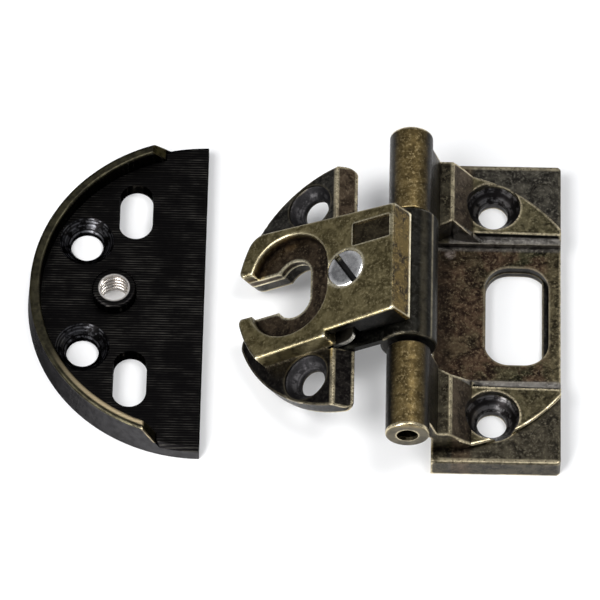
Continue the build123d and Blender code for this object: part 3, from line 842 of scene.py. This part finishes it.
def threadTree(material, sizes):
    tree = bpy.data.node_groups.new("windingRidge", "GeometryNodeTree")
    for name, default in sizes.items():
        socket = tree.interface.new_socket(name, in_out="INPUT", socket_type="NodeSocketFloat")
        socket.default_value = default
    tree.interface.new_socket("Geometry", in_out="OUTPUT", socket_type="NodeSocketGeometry")
    inputs = tree.nodes.new("NodeGroupInput")
    turns = tree.nodes.new("ShaderNodeMath")
    turns.operation = "DIVIDE"
    spiral = tree.nodes.new("GeometryNodeCurveSpiral")
    spiral.inputs["Resolution"].default_value = thread["stepsPerTurn"]
    section = tree.nodes.new("GeometryNodeCurvePrimitiveCircle")
    section.inputs["Resolution"].default_value = thread["ridgeSides"]
    sweep = tree.nodes.new("GeometryNodeCurveToMesh")
    sweep.inputs["Fill Caps"].default_value = True
    realize = tree.nodes.new("GeometryNodeRealizeInstances")
    finish = tree.nodes.new("GeometryNodeSetMaterial")
    finish.inputs["Material"].default_value = material
    output = tree.nodes.new("NodeGroupOutput")
    join = tree.links.new
    join(inputs.outputs["Length"], turns.inputs[0])
    join(inputs.outputs["Pitch"], turns.inputs[1])
    join(turns.outputs["Value"], spiral.inputs["Rotations"])
    join(inputs.outputs["Radius"], spiral.inputs["Start Radius"])
    join(inputs.outputs["Radius"], spiral.inputs["End Radius"])
    join(inputs.outputs["Length"], spiral.inputs["Height"])
    join(inputs.outputs["Ridge"], section.inputs["Radius"])
    join(spiral.outputs["Curve"], sweep.inputs["Curve"])
    join(section.outputs["Curve"], sweep.inputs["Profile Curve"])
    join(sweep.outputs["Mesh"], realize.inputs["Geometry"])
    join(realize.outputs["Geometry"], finish.inputs["Geometry"])
    join(finish.outputs["Geometry"], output.inputs["Geometry"])
    return tree


def windThread():
    sizes = {
        "Radius": boreRadius, "Pitch": thread["pitch"] * mm, "Ridge": thread["ridge"] * mm,
        "Length": boreLength - 2 * thread["endGap"] * mm,
    }
    tree = threadTree(brightMetal("threadSteel", thread), sizes)
    holder = bpy.data.objects.new("threadHolder", bpy.data.meshes.new("threadHolder"))
    bpy.context.collection.objects.link(holder)
    modifier = holder.modifiers.new("windingRidge", "NODES")
    modifier.node_group = tree
    for item in tree.interface.items_tree:
        if item.in_out == "INPUT":
            modifier[item.identifier] = sizes[item.name]
    bpy.context.view_layer.update()
    evaluated = holder.evaluated_get(bpy.context.evaluated_depsgraph_get())
    mesh = bpy.data.meshes.new_from_object(evaluated)
    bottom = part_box("half_moon_plate")[0][2]
    foot = Vector((*collar["pos_m"][:2], bottom + thread["endGap"] * mm))
    mesh.transform(Matrix.Translation(foot))
    holder.modifiers.remove(modifier)
    bpy.data.objects.remove(holder)
    mesh.shade_smooth()
    piece = bpy.data.objects.new("collar_thread", mesh)
    bpy.context.collection.objects.link(piece)
    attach(piece, "cabinet_side")


windThread()
print("thread wound in the plate's collar")

# Floor, lamps and room, in metres, watts and shares; a lamp's place is measured from the object's middle
studio = {
    "floorSize": 3.0, "floorColour": (0.84, 0.84, 0.84), "floorGlow": 0.10,
    "worldColour": (0.93, 0.95, 1.0), "worldStrength": 0.33,
    "lamps": {
        "keyLamp": {"place": (-0.48, -0.25, 0.80), "size": 0.55, "power": 5.8},
        "sideLamp": {"place": (0.30, 0.08, 0.88), "size": 0.45, "power": 4.0},
        "frontLamp": {"place": (-0.50, -0.75, 0.35), "size": 0.35, "power": 7.0},
    },
}


def floorPaint():
    # matt paint with a faint glow that is seen and mirrored but gives no diffuse light
    material = bpy.data.materials.new("paleFloor")
    material.use_nodes = True
    tree = material.node_tree
    tree.nodes.clear()
    paint = tree.nodes.new("ShaderNodeBsdfDiffuse")
    paint.inputs["Color"].default_value = (*studio["floorColour"], 1)
    glow = tree.nodes.new("ShaderNodeEmission")
    rays = tree.nodes.new("ShaderNodeLightPath")
    direct = combine(tree, "ADD", rays.outputs["Is Camera Ray"], rays.outputs["Is Glossy Ray"])
    seen = combine(tree, "ADD", direct, rays.outputs["Is Transmission Ray"])
    tree.links.new(overlap(tree, seen, studio["floorGlow"]), glow.inputs["Strength"])
    both = tree.nodes.new("ShaderNodeAddShader")
    output = tree.nodes.new("ShaderNodeOutputMaterial")
    tree.links.new(paint.outputs["BSDF"], both.inputs[0])
    tree.links.new(glow.outputs["Emission"], both.inputs[1])
    tree.links.new(both.outputs["Shader"], output.inputs["Surface"])
    return material


def layFloor():
    size = studio["floorSize"] / 2
    corners = [(-size, -size, 0), (size, -size, 0), (size, size, 0), (-size, size, 0)]
    mesh = bpy.data.meshes.new("floor")
    mesh.from_pydata(corners, [], [(0, 1, 2, 3)])
    mesh.materials.append(floorPaint())
    floor = bpy.data.objects.new("floor", mesh)
    bpy.context.collection.objects.link(floor)
    floor.location.z = cadBox[0][2]


def hangLamp(name, look):
    lamp = bpy.data.lights.new(name, "AREA")
    lamp.shape = "DISK"
    lamp.size = look["size"]
    lamp.energy = look["power"]
    holder = bpy.data.objects.new(name, lamp)
    bpy.context.collection.objects.link(holder)
    middle = (Vector(cadBox[0]) + Vector(cadBox[1])) / 2
    holder.location = middle + Vector(look["place"])
    holder.rotation_euler = (middle - holder.location).to_track_quat("-Z", "Y").to_euler()


def lightWorld():
    world = bpy.data.worlds.new("softRoom")
    bpy.context.scene.world = world
    world.use_nodes = True
    sky = world.node_tree.nodes["Background"]
    sky.inputs["Color"].default_value = (*studio["worldColour"], 1)
    sky.inputs["Strength"].default_value = studio["worldStrength"]


# Camera at the photograph's angle: target and distance in metres, angles in degrees
camera = {
    "target": (-0.03379, 0.00413, 0.0),
    "distance": 1.05383,
    "elevation": 60.0,
    "turn": 1.24,
    "pixelsPerMetre": 5690.0,  # at the target
    "imageWidth": 600,
    "sensor": 36.0,
    "clipStart": 0.01,
}


def placeCamera():
    data = bpy.data.cameras.new("camera")
    data.sensor_width = camera["sensor"]
    data.lens = camera["distance"] * camera["pixelsPerMetre"] * camera["sensor"] / camera["imageWidth"]
    data.clip_start = camera["clipStart"]
    holder = bpy.data.objects.new("camera", data)
    bpy.context.collection.objects.link(holder)
    aim = Matrix.Translation(Vector(camera["target"]))
    turned = Matrix.Rotation(radians(camera["turn"]), 4, "Z")
    tilted = Matrix.Rotation(radians(90 - camera["elevation"]), 4, "X")
    holder.matrix_world = aim @ turned @ tilted @ Matrix.Translation((0, 0, camera["distance"]))
    bpy.context.scene.camera = holder


layFloor()
for lampName, lampLook in studio["lamps"].items():
    hangLamp(lampName, lampLook)
lightWorld()
placeCamera()
bpy.context.scene.view_settings.view_transform = "Standard"
print("floor, lamps and camera in place")
